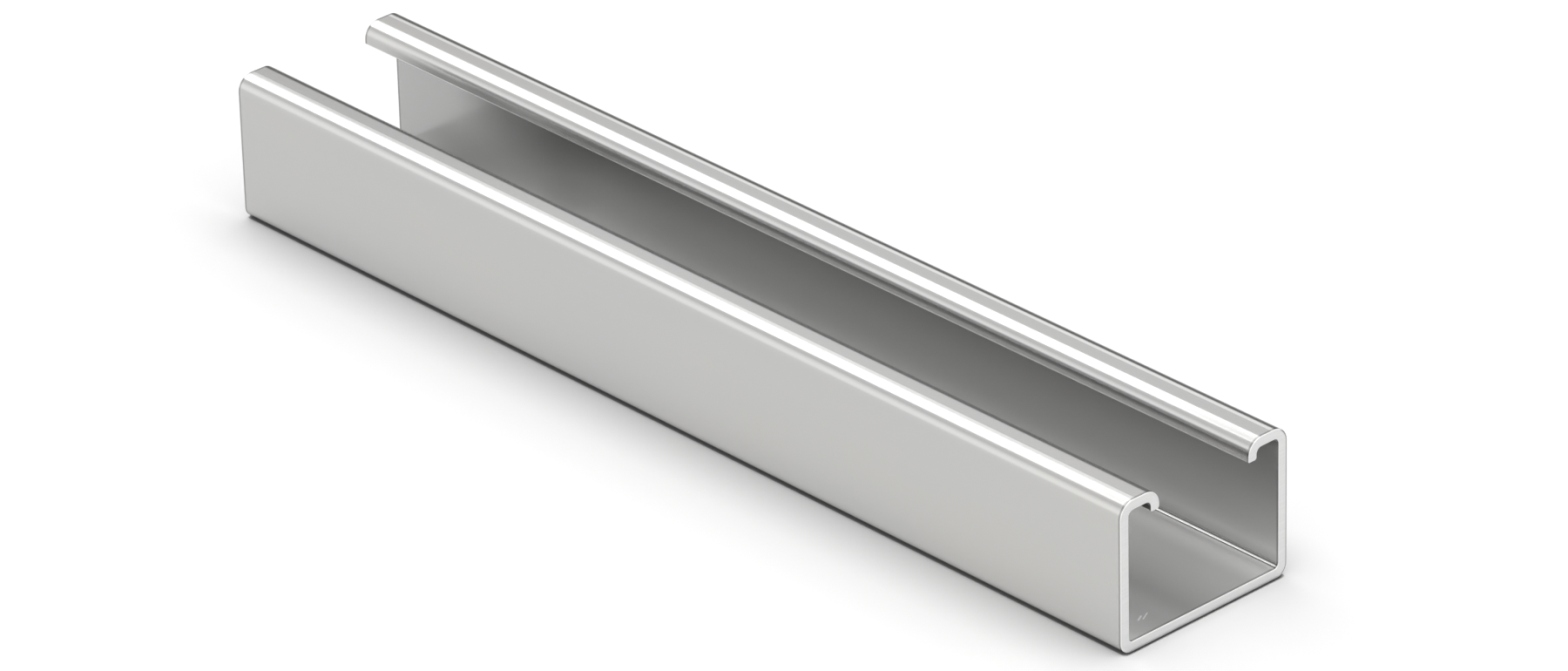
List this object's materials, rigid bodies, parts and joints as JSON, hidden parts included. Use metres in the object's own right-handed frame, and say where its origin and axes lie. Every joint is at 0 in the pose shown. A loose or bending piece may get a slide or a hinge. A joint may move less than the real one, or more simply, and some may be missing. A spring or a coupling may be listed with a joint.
{
  "type": "lipped channel section",
  "caption": "Straight length of roll-formed lipped steel channel, open along its top: framing stock that takes channel nuts, brackets and clamps in its slot.",
  "frame": {"origin": "middle of the web's underside, halfway along the channel", "axes": "+X along the channel, +Y across it from wall to wall, +Z from the web to the open side"},
  "size_m": [0.235, 0.041, 0.03],
  "materials": {
    "galvanised_steel": "smooth bright zinc-coated steel with a satin sheen, sawn ends bare and bright"
  },
  "bodies": {
    "root": {"strut_channel": "galvanised_steel"}
  },
  "joints": []
}
